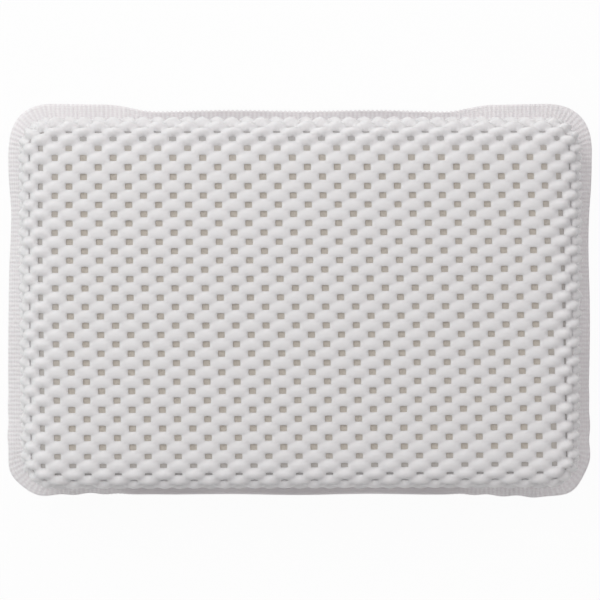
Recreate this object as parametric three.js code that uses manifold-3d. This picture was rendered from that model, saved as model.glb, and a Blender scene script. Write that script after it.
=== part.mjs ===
// Bath pillow: a foam core sealed between a lozenge-mesh front cover and a film back panel.
// The two sheets are welded together in a soft rim, and suction cups snap into the back panel.
// Millimetres, +Z up. The pillow lies face up on its cups, and the origin is on the plane of
// the cup lips, under the middle of the pillow. X runs along the long sides.
import * as THREE from "three";
import { mergeVertices } from "three/addons/utils/BufferGeometryUtils.js";
import Module from "manifold-3d";

const wasm = await Module();
wasm.setup();

// Plan of the pillow
const PILLOW_WIDTH = 330; // along X, from rim edge to rim edge at the corners
const PILLOW_HEIGHT = 222; // along Y, from rim edge to rim edge at the corners
const RIM_WIDTH = 10; // of the welded rim, outside the weld line
const RIM_EAR = 1.7; // extra width of the rim at the middle of each corner
const EDGE_RADIUS = 18; // of the padded body, at its corners in plan and at its shoulder
const TOP_DRAW = 3.8; // how far the weld is pulled in along the middle of the upper long side
const BOTTOM_DRAW = 1.2; // the same, along the lower long side
const SIDE_DRAW = 0.4; // the same, along the short sides
const LONG_SIDE_SWELL = 2.2; // how far the long walls stand out over the weld
const SHORT_SIDE_SWELL = 0.6; // how far the short walls stand out over the weld
const RUFFLE_HEIGHT = 1.2; // of the rim's waves, at its free edge
const RUFFLE_COUNT = 13; // waves round the rim

// Heights of the padded body
const FACE_HEIGHT = 42; // from the rim to the top of the shoulder
const CROWN_HEIGHT = 4; // of the middle of the face above its edges
const BACK_BULGE = 8; // of the back panel below the rim

// Sheets, and the room between pieces that lie against each other
const COVER_THICKNESS = 3.2; // front cover, over the foam
const WELD_THICKNESS = 1; // front cover, where the weld presses it flat in the rim
const FILM_THICKNESS = 0.8; // back panel
const FIT_GAP = 0.3;

// Lozenge mesh of the front cover: pits at the holes, peaks on the lozenges
const CELL_WIDTH = 16.37; // from hole to hole along a row
const ROW_PITCH = 5.01; // from row to row, each row half a cell over from the last
const MESH_SHIFT_X = 5.1; // where the mesh starts, from the middle of the pillow
const MESH_SHIFT_Y = -1.2;
const MESH_LEAN = 0.0234; // sideways shift of the rows for each millimetre along Y
const MESH_FAN = 0.00012; // how much closer the columns lie for each millimetre along Y
const PIT_DEPTH = 2.6;
const RELIEF_REACH = 6; // how far the pits run past the flat of the face, onto the shoulder
const RELIEF_MARGIN = 4; // plain band between the pits and the smooth part of the shoulder

// Suction cups
const CUP_INSET_X = 61; // from the pillow's short edges to the outer cups
const CUP_INSET_Y = 53; // from its long edges to the two rows
const CUP_RADIUS = 23;
const LIP_WIDTH = 1.6; // flat ring that meets the tub
const LIP_EDGE = 0.9; // height of the lip's outer edge
const CUP_HOLLOW = 8.5; // depth of the suction hollow
const CUP_STAND = 12.5; // from the lip to the shoulder under the panel
const HUB_RADIUS = 6.6;
const HUB_HEIGHT = 1.6;
const NECK_RADIUS = 3.6;
const HEAD_RADIUS = 6.8; // mushroom head that snaps through the panel
const HEAD_HEIGHT = 4.8;
const HEAD_EDGE = 1; // height of the head's cylindrical edge
const HEAD_CROWN_RADIUS = 5; // where the head's round top starts to turn down

// Fittings round each cup's neck
const PATCH_RADIUS = 13; // reinforcing ring welded outside the panel
const PATCH_THICKNESS = 1;
const WASHER_RADIUS = 10; // retaining washer inside the panel
const WASHER_THICKNESS = 1.2;
const POCKET_CLEARANCE = 1; // round the washer and over the head, in the foam

// Fineness of the faceted surfaces
const LONG_SIDE_STEPS = 20;
const SHORT_SIDE_STEPS = 14;
const CORNER_STEPS = 4;
const SHOULDER_STEPS = 4;
const BACK_STEPS = 3;
const ROUND_STEPS = 20;
const CURVE_STEPS = 4;

// Places worked out from the sizes above
const halfWidth = PILLOW_WIDTH / 2;
const halfHeight = PILLOW_HEIGHT / 2;
const flatX = halfWidth - RIM_WIDTH - EDGE_RADIUS;
const flatY = halfHeight - RIM_WIDTH - EDGE_RADIUS;
const shoulderArc = (Math.PI / 2) * EDGE_RADIUS;
const patchZ = CUP_STAND + FIT_GAP;
const panelUnderZ = patchZ + PATCH_THICKNESS + FIT_GAP;
const panelTopZ = panelUnderZ + FILM_THICKNESS;
const washerZ = panelTopZ + FIT_GAP;
const headZ = washerZ + WASHER_THICKNESS + FIT_GAP;
const rimZ = panelTopZ + BACK_BULGE;
const coverRimZ = rimZ + FIT_GAP;
const shoulderZ = coverRimZ + FACE_HEIGHT - EDGE_RADIUS;
const foamDepth = COVER_THICKNESS + FIT_GAP;
const neckHoleRadius = NECK_RADIUS + FIT_GAP;

// 1 along the middle of a side, falling to 0 near its corners.
const midSide = (t) => 1 - THREE.MathUtils.smoothstep(Math.abs(t), 0.58, 0.8);

// The shape that the stuffing gives: the weld drawn in between the corners, the walls swelling
// out over it, and a crowned face.
function settle({ x, y, z }) {
  const lift = THREE.MathUtils.clamp((z - coverRimZ) / FACE_HEIGHT, 0, 1);
  const full = THREE.MathUtils.smoothstep(lift, 0, 0.5);
  const crown = (1 - (x / halfWidth) ** 2) * (1 - (y / halfHeight) ** 2);
  const drawX = SIDE_DRAW * midSide(y / flatY);
  const drawY = (y > 0 ? TOP_DRAW : BOTTOM_DRAW) * midSide(x / flatX);
  return new THREE.Vector3(
    x * (1 + THREE.MathUtils.lerp(-drawX, SHORT_SIDE_SWELL, full) / halfWidth),
    y * (1 + THREE.MathUtils.lerp(-drawY, LONG_SIDE_SWELL, full) / halfHeight),
    z + CROWN_HEIGHT * lift * crown,
  );
}

// Stations round the pillow, anticlockwise from above: a place on the edge of the face's flat,
// the direction outwards from it, and how the rim widens and waves there.
function outline() {
  const corners = [
    [1, -1],
    [1, 1],
    [-1, 1],
    [-1, -1],
  ];
  const stations = [];
  corners.forEach(([signX, signY], corner) => {
    const x = signX * flatX;
    const y = signY * flatY;
    const start = (corner - 1) * (Math.PI / 2);
    for (let k = 0; k <= CORNER_STEPS; k++) {
      const turn = ((k / CORNER_STEPS) * Math.PI) / 2;
      stations.push({ x, y, angle: start + turn, ear: RIM_EAR * Math.sin(2 * turn) ** 2 });
    }
    const [nextX, nextY] = corners[(corner + 1) % corners.length];
    const steps = nextX === signX ? SHORT_SIDE_STEPS : LONG_SIDE_STEPS;
    for (let k = 1; k < steps; k++) {
      stations.push({
        x: THREE.MathUtils.lerp(x, nextX * flatX, k / steps),
        y: THREE.MathUtils.lerp(y, nextY * flatY, k / steps),
        angle: start + Math.PI / 2,
        ear: 0,
      });
    }
  });
  let travelled = 0;
  stations.forEach((station, i) => {
    const before = stations.at(i - 1);
    travelled += i ? ringPoint(station, EDGE_RADIUS, 0).distanceTo(ringPoint(before, EDGE_RADIUS, 0)) : 0;
    station.travelled = travelled;
  });
  const round = travelled + ringPoint(stations[0], EDGE_RADIUS, 0).distanceTo(
    ringPoint(stations.at(-1), EDGE_RADIUS, 0),
  );
  stations.forEach((station) => {
    station.wave = Math.sin((2 * Math.PI * RUFFLE_COUNT * station.travelled) / round);
  });
  return stations;
}

function ringPoint({ x, y, angle }, reach, z) {
  return new THREE.Vector3(x + reach * Math.cos(angle), y + reach * Math.sin(angle), z);
}

const stations = outline();

// A closed ring round the pillow, at one reach from the edge of the face's flat.
const ring = (reach, z) => stations.map((station) => ringPoint(station, reach, z));

// The free edge of the welded rim, with its ears and waves.
const rimEdge = (z) =>
  stations.map((station) =>
    ringPoint(station, EDGE_RADIUS + RIM_WIDTH + station.ear, z + RUFFLE_HEIGHT * station.wave),
  );

// Reach and height of the dome at a distance along its sheet, outwards from the face's flat,
// and at a depth under its outer surface.
function dome(along, depth) {
  const radius = EDGE_RADIUS - depth;
  if (along > shoulderArc) return { reach: radius, z: shoulderZ - (along - shoulderArc) };
  const turn = along / EDGE_RADIUS;
  return { reach: radius * Math.sin(turn), z: shoulderZ + radius * Math.cos(turn) };
}

function domeRing(along, depth) {
  const { reach, z } = dome(along, depth);
  return ring(reach, z);
}

// A point of the front cover from its place on the sheet laid flat.
function onCover(u, v, depth) {
  const overX = Math.max(Math.abs(u) - flatX, 0);
  const overY = Math.max(Math.abs(v) - flatY, 0);
  const along = Math.hypot(overX, overY);
  const { reach, z } = dome(along, depth);
  const pull = along > 0 ? reach / along : 0;
  return new THREE.Vector3(
    Math.sign(u) * (Math.min(Math.abs(u), flatX) + overX * pull),
    Math.sign(v) * (Math.min(Math.abs(v), flatY) + overY * pull),
    z,
  );
}

// Height of the back panel's upper face, from its flat middle up to the rim.
const panelRise = (reach) => (BACK_BULGE * (1 - Math.cos((Math.PI * reach) / EDGE_RADIUS))) / 2;

// The triangles of one closed surface. Rings run anticlockwise seen from above.
class Skin {
  constructor() {
    this.corners = [];
  }

  triangle(a, b, c) {
    const degenerate = a.equals(b) || b.equals(c) || c.equals(a);
    if (!degenerate) this.corners.push(a, b, c);
  }

  quad(a, b, c, d) {
    this.triangle(a, b, c);
    this.triangle(a, c, d);
  }

  // Strips through rings listed in order, from the top outwards, down and back in underneath.
  // Sheets that lie together are split along the same diagonals, so they stay apart in a wave.
  rings(list) {
    list.slice(1).forEach((lower, k) => {
      const upper = list[k];
      const goesOut = lower[0].length() > upper[0].length();
      upper.forEach((point, i) => {
        const next = (i + 1) % upper.length;
        if (goesOut) this.quad(point, lower[i], lower[next], upper[next]);
        else this.quad(lower[i], lower[next], upper[next], point);
      });
    });
  }

  // Triangles between two rings with different counts, matched by direction from the middle.
  stitch(inner, outer) {
    const turned = (loop) => {
      const angle = (point) => (Math.atan2(point.y, point.x) + 2 * Math.PI) % (2 * Math.PI);
      const first = loop.reduce((best, point, i) => (angle(point) < angle(loop[best]) ? i : best), 0);
      const sorted = [...loop.slice(first), ...loop.slice(0, first)];
      const angles = sorted.map(angle);
      return { points: [...sorted, sorted[0]], angles: [...angles, angles[0] + 2 * Math.PI] };
    };
    const a = turned(inner);
    const b = turned(outer);
    let i = 0;
    let j = 0;
    while (i < inner.length || j < outer.length) {
      const stepInner = j === outer.length || (i < inner.length && a.angles[i + 1] < b.angles[j + 1]);
      if (stepInner) {
        this.triangle(a.points[i], b.points[j], a.points[i + 1]);
        i++;
      } else {
        this.triangle(a.points[i], b.points[j], b.points[j + 1]);
        j++;
      }
    }
  }

  // A flat end to a ring, facing up or down.
  flatEnd(loop, facesUp) {
    const middle = new THREE.Vector3(0, 0, loop[0].z);
    loop.forEach((point, i) => {
      const next = loop[(i + 1) % loop.length];
      this.triangle(middle, facesUp ? point : next, facesUp ? next : point);
    });
  }

  // The middle of a crowned face at one height before it settles, facing up or down.
  facePatch(z, facesUp) {
    const at = (i, j) =>
      new THREE.Vector3(
        THREE.MathUtils.lerp(-flatX, flatX, i / LONG_SIDE_STEPS),
        THREE.MathUtils.lerp(-flatY, flatY, j / SHORT_SIDE_STEPS),
        z,
      );
    for (let i = 0; i < LONG_SIDE_STEPS; i++) {
      for (let j = 0; j < SHORT_SIDE_STEPS; j++) {
        const square = [at(i, j), at(i + 1, j), at(i + 1, j + 1), at(i, j + 1)];
        this.quad(...(facesUp ? square : square.reverse()));
      }
    }
  }

  geometry() {
    const positions = this.corners.flatMap((corner) => settle(corner).toArray());
    const soup = new THREE.BufferGeometry();
    soup.setAttribute("position", new THREE.Float32BufferAttribute(positions, 3));
    return mergeVertices(soup, 1e-3);
  }
}

// The face of the front cover: pits where the mesh has holes, peaks on the lozenges between.
// Returns the ring of points along its edge.
function lozengeFace(skin) {
  const halfCell = CELL_WIDTH / 2;
  const spread = (MESH_LEAN + MESH_FAN * flatX) * flatY;
  const reachX = flatX + RELIEF_REACH - spread;
  const reachY = flatY + RELIEF_REACH;
  const left = Math.ceil((-reachX - MESH_SHIFT_X) / halfCell);
  const right = Math.floor((reachX - MESH_SHIFT_X) / halfCell);
  const bottom = Math.ceil((-reachY - MESH_SHIFT_Y) / ROW_PITCH);
  const top = Math.floor((reachY - MESH_SHIFT_Y) / ROW_PITCH);
  const site = (i, j) => {
    const across = i * halfCell + MESH_SHIFT_X;
    const v = j * ROW_PITCH + MESH_SHIFT_Y;
    const isEdge = i === left || i === right || j === bottom || j === top;
    const isHole = (i + j) % 2 !== 0;
    return onCover(across * (1 - MESH_FAN * v) - MESH_LEAN * v, v, isHole && !isEdge ? PIT_DEPTH : 0);
  };
  for (let i = left; i < right; i++) {
    for (let j = bottom; j < top; j++) {
      const square = [site(i, j), site(i + 1, j), site(i + 1, j + 1), site(i, j + 1)];
      const ridgeAtStart = (i + j) % 2 === 0;
      skin.quad(...(ridgeAtStart ? square : [square[1], square[2], square[3], square[0]]));
    }
  }
  const edge = [];
  for (let j = bottom; j < top; j++) edge.push(site(right, j));
  for (let i = right; i > left; i--) edge.push(site(i, top));
  for (let j = top; j > bottom; j--) edge.push(site(left, j));
  for (let i = left; i < right; i++) edge.push(site(i, bottom));
  return edge;
}

function frontCover() {
  const skin = new Skin();
  const reliefEnd = RELIEF_REACH + RELIEF_MARGIN;
  const shoulder = [];
  for (let k = 0; k <= SHOULDER_STEPS; k++) {
    shoulder.push(domeRing(THREE.MathUtils.lerp(reliefEnd, shoulderArc, k / SHOULDER_STEPS), 0));
  }
  const lining = [];
  for (let k = SHOULDER_STEPS; k >= 0; k--) {
    lining.push(domeRing((k / SHOULDER_STEPS) * shoulderArc, COVER_THICKNESS));
  }
  skin.stitch(lozengeFace(skin), shoulder[0]);
  skin.rings([
    ...shoulder,
    ring(EDGE_RADIUS, coverRimZ + WELD_THICKNESS),
    rimEdge(coverRimZ + WELD_THICKNESS),
    rimEdge(coverRimZ),
    ring(EDGE_RADIUS, coverRimZ),
    ring(EDGE_RADIUS - COVER_THICKNESS, coverRimZ),
    ...lining,
  ]);
  skin.facePatch(shoulderZ + EDGE_RADIUS - COVER_THICKNESS, false);
  return skin.geometry();
}

function backPanel() {
  const skin = new Skin();
  const dish = [];
  for (let k = 0; k <= BACK_STEPS; k++) dish.push((k / BACK_STEPS) * EDGE_RADIUS);
  const upper = dish.map((reach) => ring(reach, panelTopZ + panelRise(reach)));
  const under = dish.map((reach) => ring(reach, panelUnderZ + panelRise(reach))).reverse();
  skin.rings([...upper, rimEdge(rimZ), rimEdge(rimZ - FILM_THICKNESS), ...under]);
  skin.flatEnd(upper[0], true);
  skin.flatEnd(under.at(-1), false);
  const holes = cupPlaces.map(({ x, y }) => upright(neckHoleRadius, panelUnderZ - 1, panelTopZ + 1, x, y));
  return cut(skin.geometry(), holes);
}

function foamCore() {
  const skin = new Skin();
  const top = [];
  for (let k = 0; k <= SHOULDER_STEPS; k++) {
    top.push(domeRing((k / SHOULDER_STEPS) * shoulderArc, foamDepth));
  }
  const bottom = [];
  for (let k = BACK_STEPS; k >= 0; k--) {
    const reach = (k / BACK_STEPS) * (EDGE_RADIUS - foamDepth);
    bottom.push(ring(reach, panelTopZ + panelRise(reach) + FIT_GAP));
  }
  skin.rings([...top, ...bottom]);
  skin.facePatch(shoulderZ + EDGE_RADIUS - foamDepth, true);
  skin.flatEnd(bottom.at(-1), false);
  const pocketTop = headZ + HEAD_HEIGHT + POCKET_CLEARANCE;
  const pockets = cupPlaces.map(({ x, y }) =>
    upright(WASHER_RADIUS + POCKET_CLEARANCE, panelUnderZ, pocketTop, x, y),
  );
  return cut(skin.geometry(), pockets);
}

// A cutting cylinder standing at a place in plan.
function upright(radius, bottom, top, x, y) {
  const cylinder = new THREE.CylinderGeometry(radius, radius, top - bottom, ROUND_STEPS);
  return cylinder.rotateX(Math.PI / 2).translate(x, y, (bottom + top) / 2);
}

function toSolid(geometry) {
  const bare = geometry.clone();
  bare.deleteAttribute("normal");
  bare.deleteAttribute("uv");
  const merged = mergeVertices(bare, 1e-3);
  return new wasm.Manifold(
    new wasm.Mesh({
      numProp: 3,
      vertProperties: new Float32Array(merged.attributes.position.array),
      triVerts: new Uint32Array(merged.index.array),
    }),
  );
}

function cut(geometry, tools) {
  const left = tools.reduce((solid, tool) => solid.subtract(toSolid(tool)), toSolid(geometry));
  const mesh = left.getMesh();
  const result = new THREE.BufferGeometry();
  result.setAttribute("position", new THREE.BufferAttribute(mesh.vertProperties, 3));
  result.setIndex(new THREE.BufferAttribute(mesh.triVerts, 1));
  return result;
}

// A profile of radius and height turned about the upright axis.
function turned(profile) {
  return new THREE.LatheGeometry(profile, ROUND_STEPS).rotateX(Math.PI / 2);
}

// Suction cup: hollow dish, hub, neck and mushroom head in one moulding.
function suctionCup() {
  const hollowEdge = CUP_RADIUS - LIP_WIDTH;
  const hubZ = CUP_STAND - HUB_HEIGHT;
  const profile = new THREE.Path();
  profile.moveTo(0, CUP_HOLLOW);
  profile.quadraticCurveTo(hollowEdge * 0.6, CUP_HOLLOW * 0.95, hollowEdge, 0);
  profile.lineTo(CUP_RADIUS, 0);
  profile.lineTo(CUP_RADIUS, LIP_EDGE);
  profile.quadraticCurveTo(CUP_RADIUS * 0.7, CUP_HOLLOW, HUB_RADIUS, hubZ);
  profile.lineTo(HUB_RADIUS, CUP_STAND);
  profile.lineTo(NECK_RADIUS, CUP_STAND);
  profile.lineTo(NECK_RADIUS, headZ);
  profile.lineTo(HEAD_RADIUS, headZ);
  profile.lineTo(HEAD_RADIUS, headZ + HEAD_EDGE);
  profile.quadraticCurveTo(HEAD_CROWN_RADIUS, headZ + HEAD_HEIGHT, 0, headZ + HEAD_HEIGHT);
  return turned(profile.getPoints(CURVE_STEPS));
}

// A flat ring round a cup's neck.
function neckRing(radius, thickness) {
  const profile = [
    [neckHoleRadius, 0],
    [radius, 0],
    [radius, thickness],
    [neckHoleRadius, thickness],
    [neckHoleRadius, 0],
  ];
  return turned(profile.map(([r, z]) => new THREE.Vector2(r, z)));
}

// Two rows of three cups on the flat of the back panel.
const cupPlaces = [
  ["upper", 1],
  ["lower", -1],
].flatMap(([row, along]) =>
  [
    ["left", -1],
    ["middle", 0],
    ["right", 1],
  ].map(([column, across]) => ({
    name: `${row}_${column}`,
    x: across * (halfWidth - CUP_INSET_X),
    y: along * (halfHeight - CUP_INSET_Y),
  })),
);

const meshPvc = new THREE.MeshStandardMaterial({ color: 0xe6e4e3, roughness: 0.45, metalness: 0 });
const filmPvc = new THREE.MeshStandardMaterial({ color: 0xe9e7e6, roughness: 0.5, metalness: 0 });
const foam = new THREE.MeshStandardMaterial({ color: 0xe3dac6, roughness: 0.95, metalness: 0 });
const clearPvc = new THREE.MeshStandardMaterial({
  color: 0xdfe6e8,
  roughness: 0.15,
  metalness: 0,
  transparent: true,
  opacity: 0.55,
});
const washerPlastic = new THREE.MeshStandardMaterial({ color: 0xf0f0ee, roughness: 0.4, metalness: 0 });

function named(name, geometry, material, z = 0) {
  const mesh = new THREE.Mesh(geometry, material);
  mesh.name = name;
  mesh.position.z = z;
  return mesh;
}

const pillow = new THREE.Group();
pillow.add(named("front_cover", frontCover(), meshPvc));
pillow.add(named("foam_core", foamCore(), foam));
pillow.add(named("back_panel", backPanel(), filmPvc));
cupPlaces.forEach(({ name, x, y }) => {
  const fitting = new THREE.Group();
  fitting.position.set(x, y, 0);
  fitting.add(named(`suction_cup_${name}`, suctionCup(), clearPvc));
  fitting.add(named(`cup_patch_${name}`, neckRing(PATCH_RADIUS, PATCH_THICKNESS), filmPvc, patchZ));
  fitting.add(named(`cup_washer_${name}`, neckRing(WASHER_RADIUS, WASHER_THICKNESS), washerPlastic, washerZ));
  pillow.add(fitting);
});

export default pillow;
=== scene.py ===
"""Dresses the bath pillow: lozenge-mesh cover, ribbed welded rim, foam core, film back and suction cups."""

import logging
import math
from collections.abc import Sequence
from dataclasses import dataclass
from enum import Enum
from functools import cached_property
from typing import Any

import bpy
import numpy as np
from mathutils import Matrix, Vector


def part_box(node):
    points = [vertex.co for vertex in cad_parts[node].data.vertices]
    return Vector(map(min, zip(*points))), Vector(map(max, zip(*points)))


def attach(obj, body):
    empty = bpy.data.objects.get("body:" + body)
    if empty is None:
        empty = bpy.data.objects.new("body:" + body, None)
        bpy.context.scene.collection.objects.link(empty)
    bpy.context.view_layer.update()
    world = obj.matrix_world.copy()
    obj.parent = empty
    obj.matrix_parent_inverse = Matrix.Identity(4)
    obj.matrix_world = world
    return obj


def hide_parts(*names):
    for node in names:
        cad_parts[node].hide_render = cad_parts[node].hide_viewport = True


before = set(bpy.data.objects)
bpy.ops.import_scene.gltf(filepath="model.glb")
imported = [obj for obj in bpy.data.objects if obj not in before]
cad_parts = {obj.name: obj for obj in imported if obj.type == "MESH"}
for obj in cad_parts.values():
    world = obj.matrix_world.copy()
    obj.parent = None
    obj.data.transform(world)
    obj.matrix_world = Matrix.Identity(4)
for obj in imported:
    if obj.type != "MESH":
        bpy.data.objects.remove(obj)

MM = 0.001
TINY = 1e-9
CUTTER_SIDES = 32
PILLOW_BODY = "pillow"
SEEN_RAYS = ("Is Camera Ray", "Is Glossy Ray", "Is Transmission Ray")
CUP_PLACES = [f"{row}_{column}" for row in ("upper", "lower") for column in ("left", "middle", "right")]

Band = tuple[float, float]
Colour = tuple[float, float, float]
NEUTRAL: Colour = (1.0, 1.0, 1.0)
COOL: Colour = (0.94, 1.0, 0.985)
WARM: Colour = (1.0, 0.94, 0.96)
log = logging.getLogger("bath_pillow")


class PickMode(Enum):
    """What a selection in edit mode is made of."""

    EDGES = (False, True, False)
    FACES = (False, False, True)


class Bench:
    """The one object being modelled, with the selections and edits made on it."""

    def __init__(self, name: str) -> None:
        """Takes over the primitive that was just added, under the finished piece's name."""
        self.piece = bpy.context.active_object
        self.piece.name = self.piece.data.name = name

    @staticmethod
    def leave_edit() -> None:
        """Goes back to object mode."""
        if bpy.context.mode != "OBJECT":
            bpy.ops.object.mode_set(mode="OBJECT")

    @staticmethod
    def clear() -> None:
        """Leaves edit mode and deselects everything, before a primitive is added."""
        Bench.leave_edit()
        bpy.ops.object.select_all(action="DESELECT")

    @staticmethod
    def edit_all() -> None:
        """Selects the whole mesh in edit mode."""
        bpy.ops.object.mode_set(mode="EDIT")
        bpy.ops.mesh.select_all(action="SELECT")

    def pick(self, mode: PickMode, chosen: np.ndarray) -> None:
        """Selects edges or faces in edit mode.

        Args:
            mode: Whether edges or faces are picked.
            chosen: One truth value for each edge or face of the mesh.
        """
        self.leave_edit()
        bpy.context.tool_settings.mesh_select_mode = mode.value
        mesh = self.piece.data
        for elements in (mesh.vertices, mesh.edges, mesh.polygons):
            elements.foreach_set("select", np.zeros(len(elements), dtype=bool))
        elements = mesh.edges if mode is PickMode.EDGES else mesh.polygons
        elements.foreach_set("select", np.asarray(chosen, dtype=bool))
        bpy.ops.object.mode_set(mode="EDIT")

    def cut(self, chosen: np.ndarray) -> None:
        """Deletes the chosen faces."""
        self.pick(PickMode.FACES, chosen)
        bpy.ops.mesh.delete(type="FACE")

    def face_centres(self) -> np.ndarray:
        """Returns the middle of each face, as an array of rows."""
        self.leave_edit()
        return np.array([face.center[:] for face in self.piece.data.polygons])

    def points(self) -> np.ndarray:
        """Returns the place of each vertex, as an array of rows."""
        self.leave_edit()
        return np.array([vertex.co[:] for vertex in self.piece.data.vertices])

    def edges_between(self, chosen: np.ndarray) -> np.ndarray:
        """Returns which edges have both their ends among the chosen vertices."""
        ends = np.array([edge.vertices[:] for edge in self.piece.data.edges])
        return chosen[ends].all(axis=1)

    def form(self, places: np.ndarray) -> None:
        """Moves every vertex to its new place, given as rows."""
        self.piece.data.vertices.foreach_set("co", np.ascontiguousarray(places, dtype=np.float32).ravel())
        self.piece.data.update()

    def note(self, name: str, values: np.ndarray) -> None:
        """Keeps one number for each vertex under a name, for a material to read."""
        attribute = self.piece.data.attributes.new(name, "FLOAT", "POINT")
        attribute.data.foreach_set("value", np.ascontiguousarray(values, dtype=np.float32))

    def modify(self, kind: str, **settings: Any) -> None:
        """Adds a modifier and applies it.

        Args:
            kind: The modifier's type.
            **settings: Its settings by name.
        """
        modifier = self.piece.modifiers.new(kind.title(), kind)
        for key, value in settings.items():
            setattr(modifier, key, value)
        bpy.context.view_layer.objects.active = self.piece
        bpy.ops.object.modifier_apply(modifier=modifier.name)

    def drill(self, middle: Vector, radius: float, bottom: float, top: float) -> None:
        """Cuts an upright round hole.

        Args:
            middle: The hole's axis in plan.
            radius: Its radius.
            bottom: The height that it starts from.
            top: The height that it reaches.
        """
        self.clear()
        bpy.ops.mesh.primitive_cylinder_add(
            vertices=CUTTER_SIDES,
            radius=radius,
            depth=top - bottom,
            location=(middle.x, middle.y, (top + bottom) / 2),
        )
        cutter = bpy.context.active_object
        self.modify("BOOLEAN", operation="DIFFERENCE", object=cutter, solver="EXACT")
        bpy.data.objects.remove(cutter)

    def finish(self, body: str, nodes: Sequence[str], slot: str, finish: "Finish") -> bpy.types.Object:
        """Smooths, dresses and hands over the piece.

        Args:
            body: The body that the piece moves with.
            nodes: The CAD nodes that it stands for.
            slot: Not used.
            finish: Its finish.

        Returns:
            The finished piece.
        """
        self.clear()
        self.piece.select_set(True)
        bpy.context.view_layer.objects.active = self.piece
        bpy.ops.object.shade_smooth()
        self.piece.data.materials.clear()
        self.piece.data.materials.append(finish.material)
        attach(self.piece, body)
        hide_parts(*nodes)
        log.info("%s: %d faces", self.piece.name, len(self.piece.data.polygons))
        return self.piece


def smooth(low: float, high: float, values: np.ndarray) -> np.ndarray:
    """Returns a smooth rise from 0 at low to 1 at high."""
    share = np.clip((values - low) / (high - low), 0, 1)
    return share * share * (3 - 2 * share)


def middle_of(node: str) -> Vector:
    """Returns the middle of a CAD node's box."""
    low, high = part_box(node)
    return (low + high) / 2


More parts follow.
